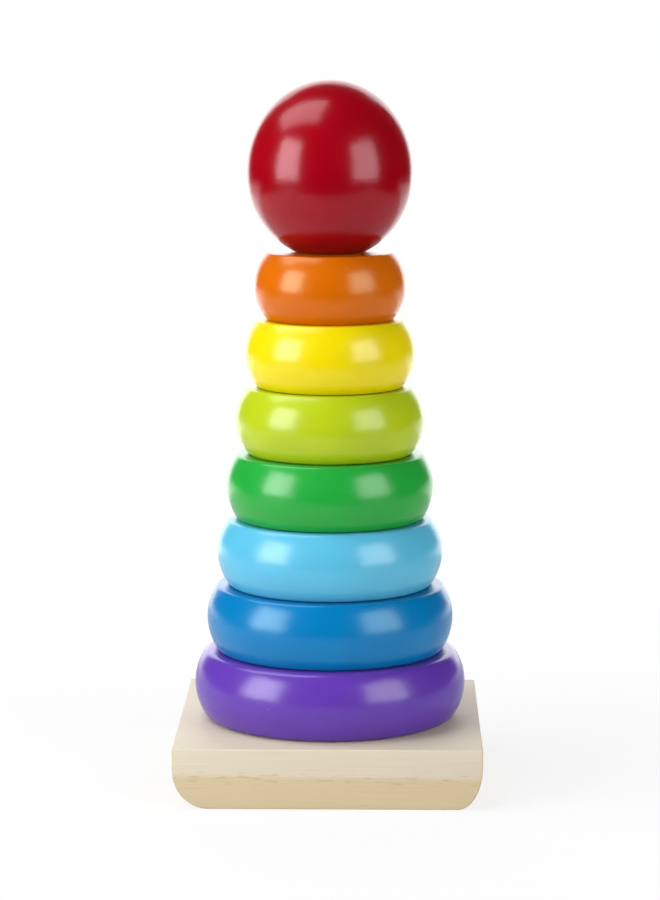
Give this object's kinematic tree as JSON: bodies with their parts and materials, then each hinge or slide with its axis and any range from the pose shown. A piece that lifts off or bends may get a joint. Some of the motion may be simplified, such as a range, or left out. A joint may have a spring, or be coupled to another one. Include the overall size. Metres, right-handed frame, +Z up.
{
  "type": "stacking ring toy",
  "caption": "Wooden stacking toy: painted rings that grow smaller upwards and a painted ball, threaded on an upright dowel in a square wooden base.",
  "frame": {"origin": "middle of the base block's underside, on the surface that the toy stands on", "axes": "+Z up along the dowel, +X along the base block's grain towards its right end, -Y towards the front"},
  "size_m": [0.1, 0.1, 0.232],
  "materials": {
    "base_wood": "sanded and clear sealed",
    "dowel_wood": "sanded",
    "zinc_steel": "zinc plated",
    "purple_paint": "gloss enamel",
    "blue_paint": "gloss enamel",
    "light_blue_paint": "gloss enamel",
    "green_paint": "gloss enamel",
    "lime_paint": "gloss enamel",
    "yellow_paint": "gloss enamel",
    "orange_paint": "gloss enamel",
    "red_paint": "gloss enamel"
  },
  "bodies": {
    "base": {"base_block": "base_wood", "centre_dowel": "dowel_wood", "dowel_screw": "zinc_steel"},
    "purple": {"purple_ring": "purple_paint"},
    "blue": {"blue_ring": "blue_paint"},
    "light_blue": {"light_blue_ring": "light_blue_paint"},
    "green": {"green_ring": "green_paint"},
    "lime": {"lime_ring": "lime_paint"},
    "yellow": {"yellow_ring": "yellow_paint"},
    "orange": {"orange_ring": "orange_paint"},
    "ball": {"ball_top": "red_paint"}
  },
  "joints": [
    {"name": "purple_lift", "type": "slide", "parent": "base", "child": "purple", "axis": [0, 0, 1], "range_m": [0, 0.183]},
    {"name": "blue_lift", "type": "slide", "parent": "purple", "child": "blue", "axis": [0, 0, 1], "range_m": [0, 0.16]},
    {"name": "light_blue_lift", "type": "slide", "parent": "blue", "child": "light_blue", "axis": [0, 0, 1], "range_m": [0, 0.138]},
    {"name": "green_lift", "type": "slide", "parent": "light_blue", "child": "green", "axis": [0, 0, 1], "range_m": [0, 0.116]},
    {"name": "lime_lift", "type": "slide", "parent": "green", "child": "lime", "axis": [0, 0, 1], "range_m": [0, 0.094]},
    {"name": "yellow_lift", "type": "slide", "parent": "lime", "child": "yellow", "axis": [0, 0, 1], "range_m": [0, 0.072]},
    {"name": "orange_lift", "type": "slide", "parent": "yellow", "child": "orange", "axis": [0, 0, 1], "range_m": [0, 0.049]},
    {"name": "ball_lift", "type": "slide", "parent": "orange", "child": "ball", "axis": [0, 0, 1], "range_m": [0, 0.027]}
  ]
}
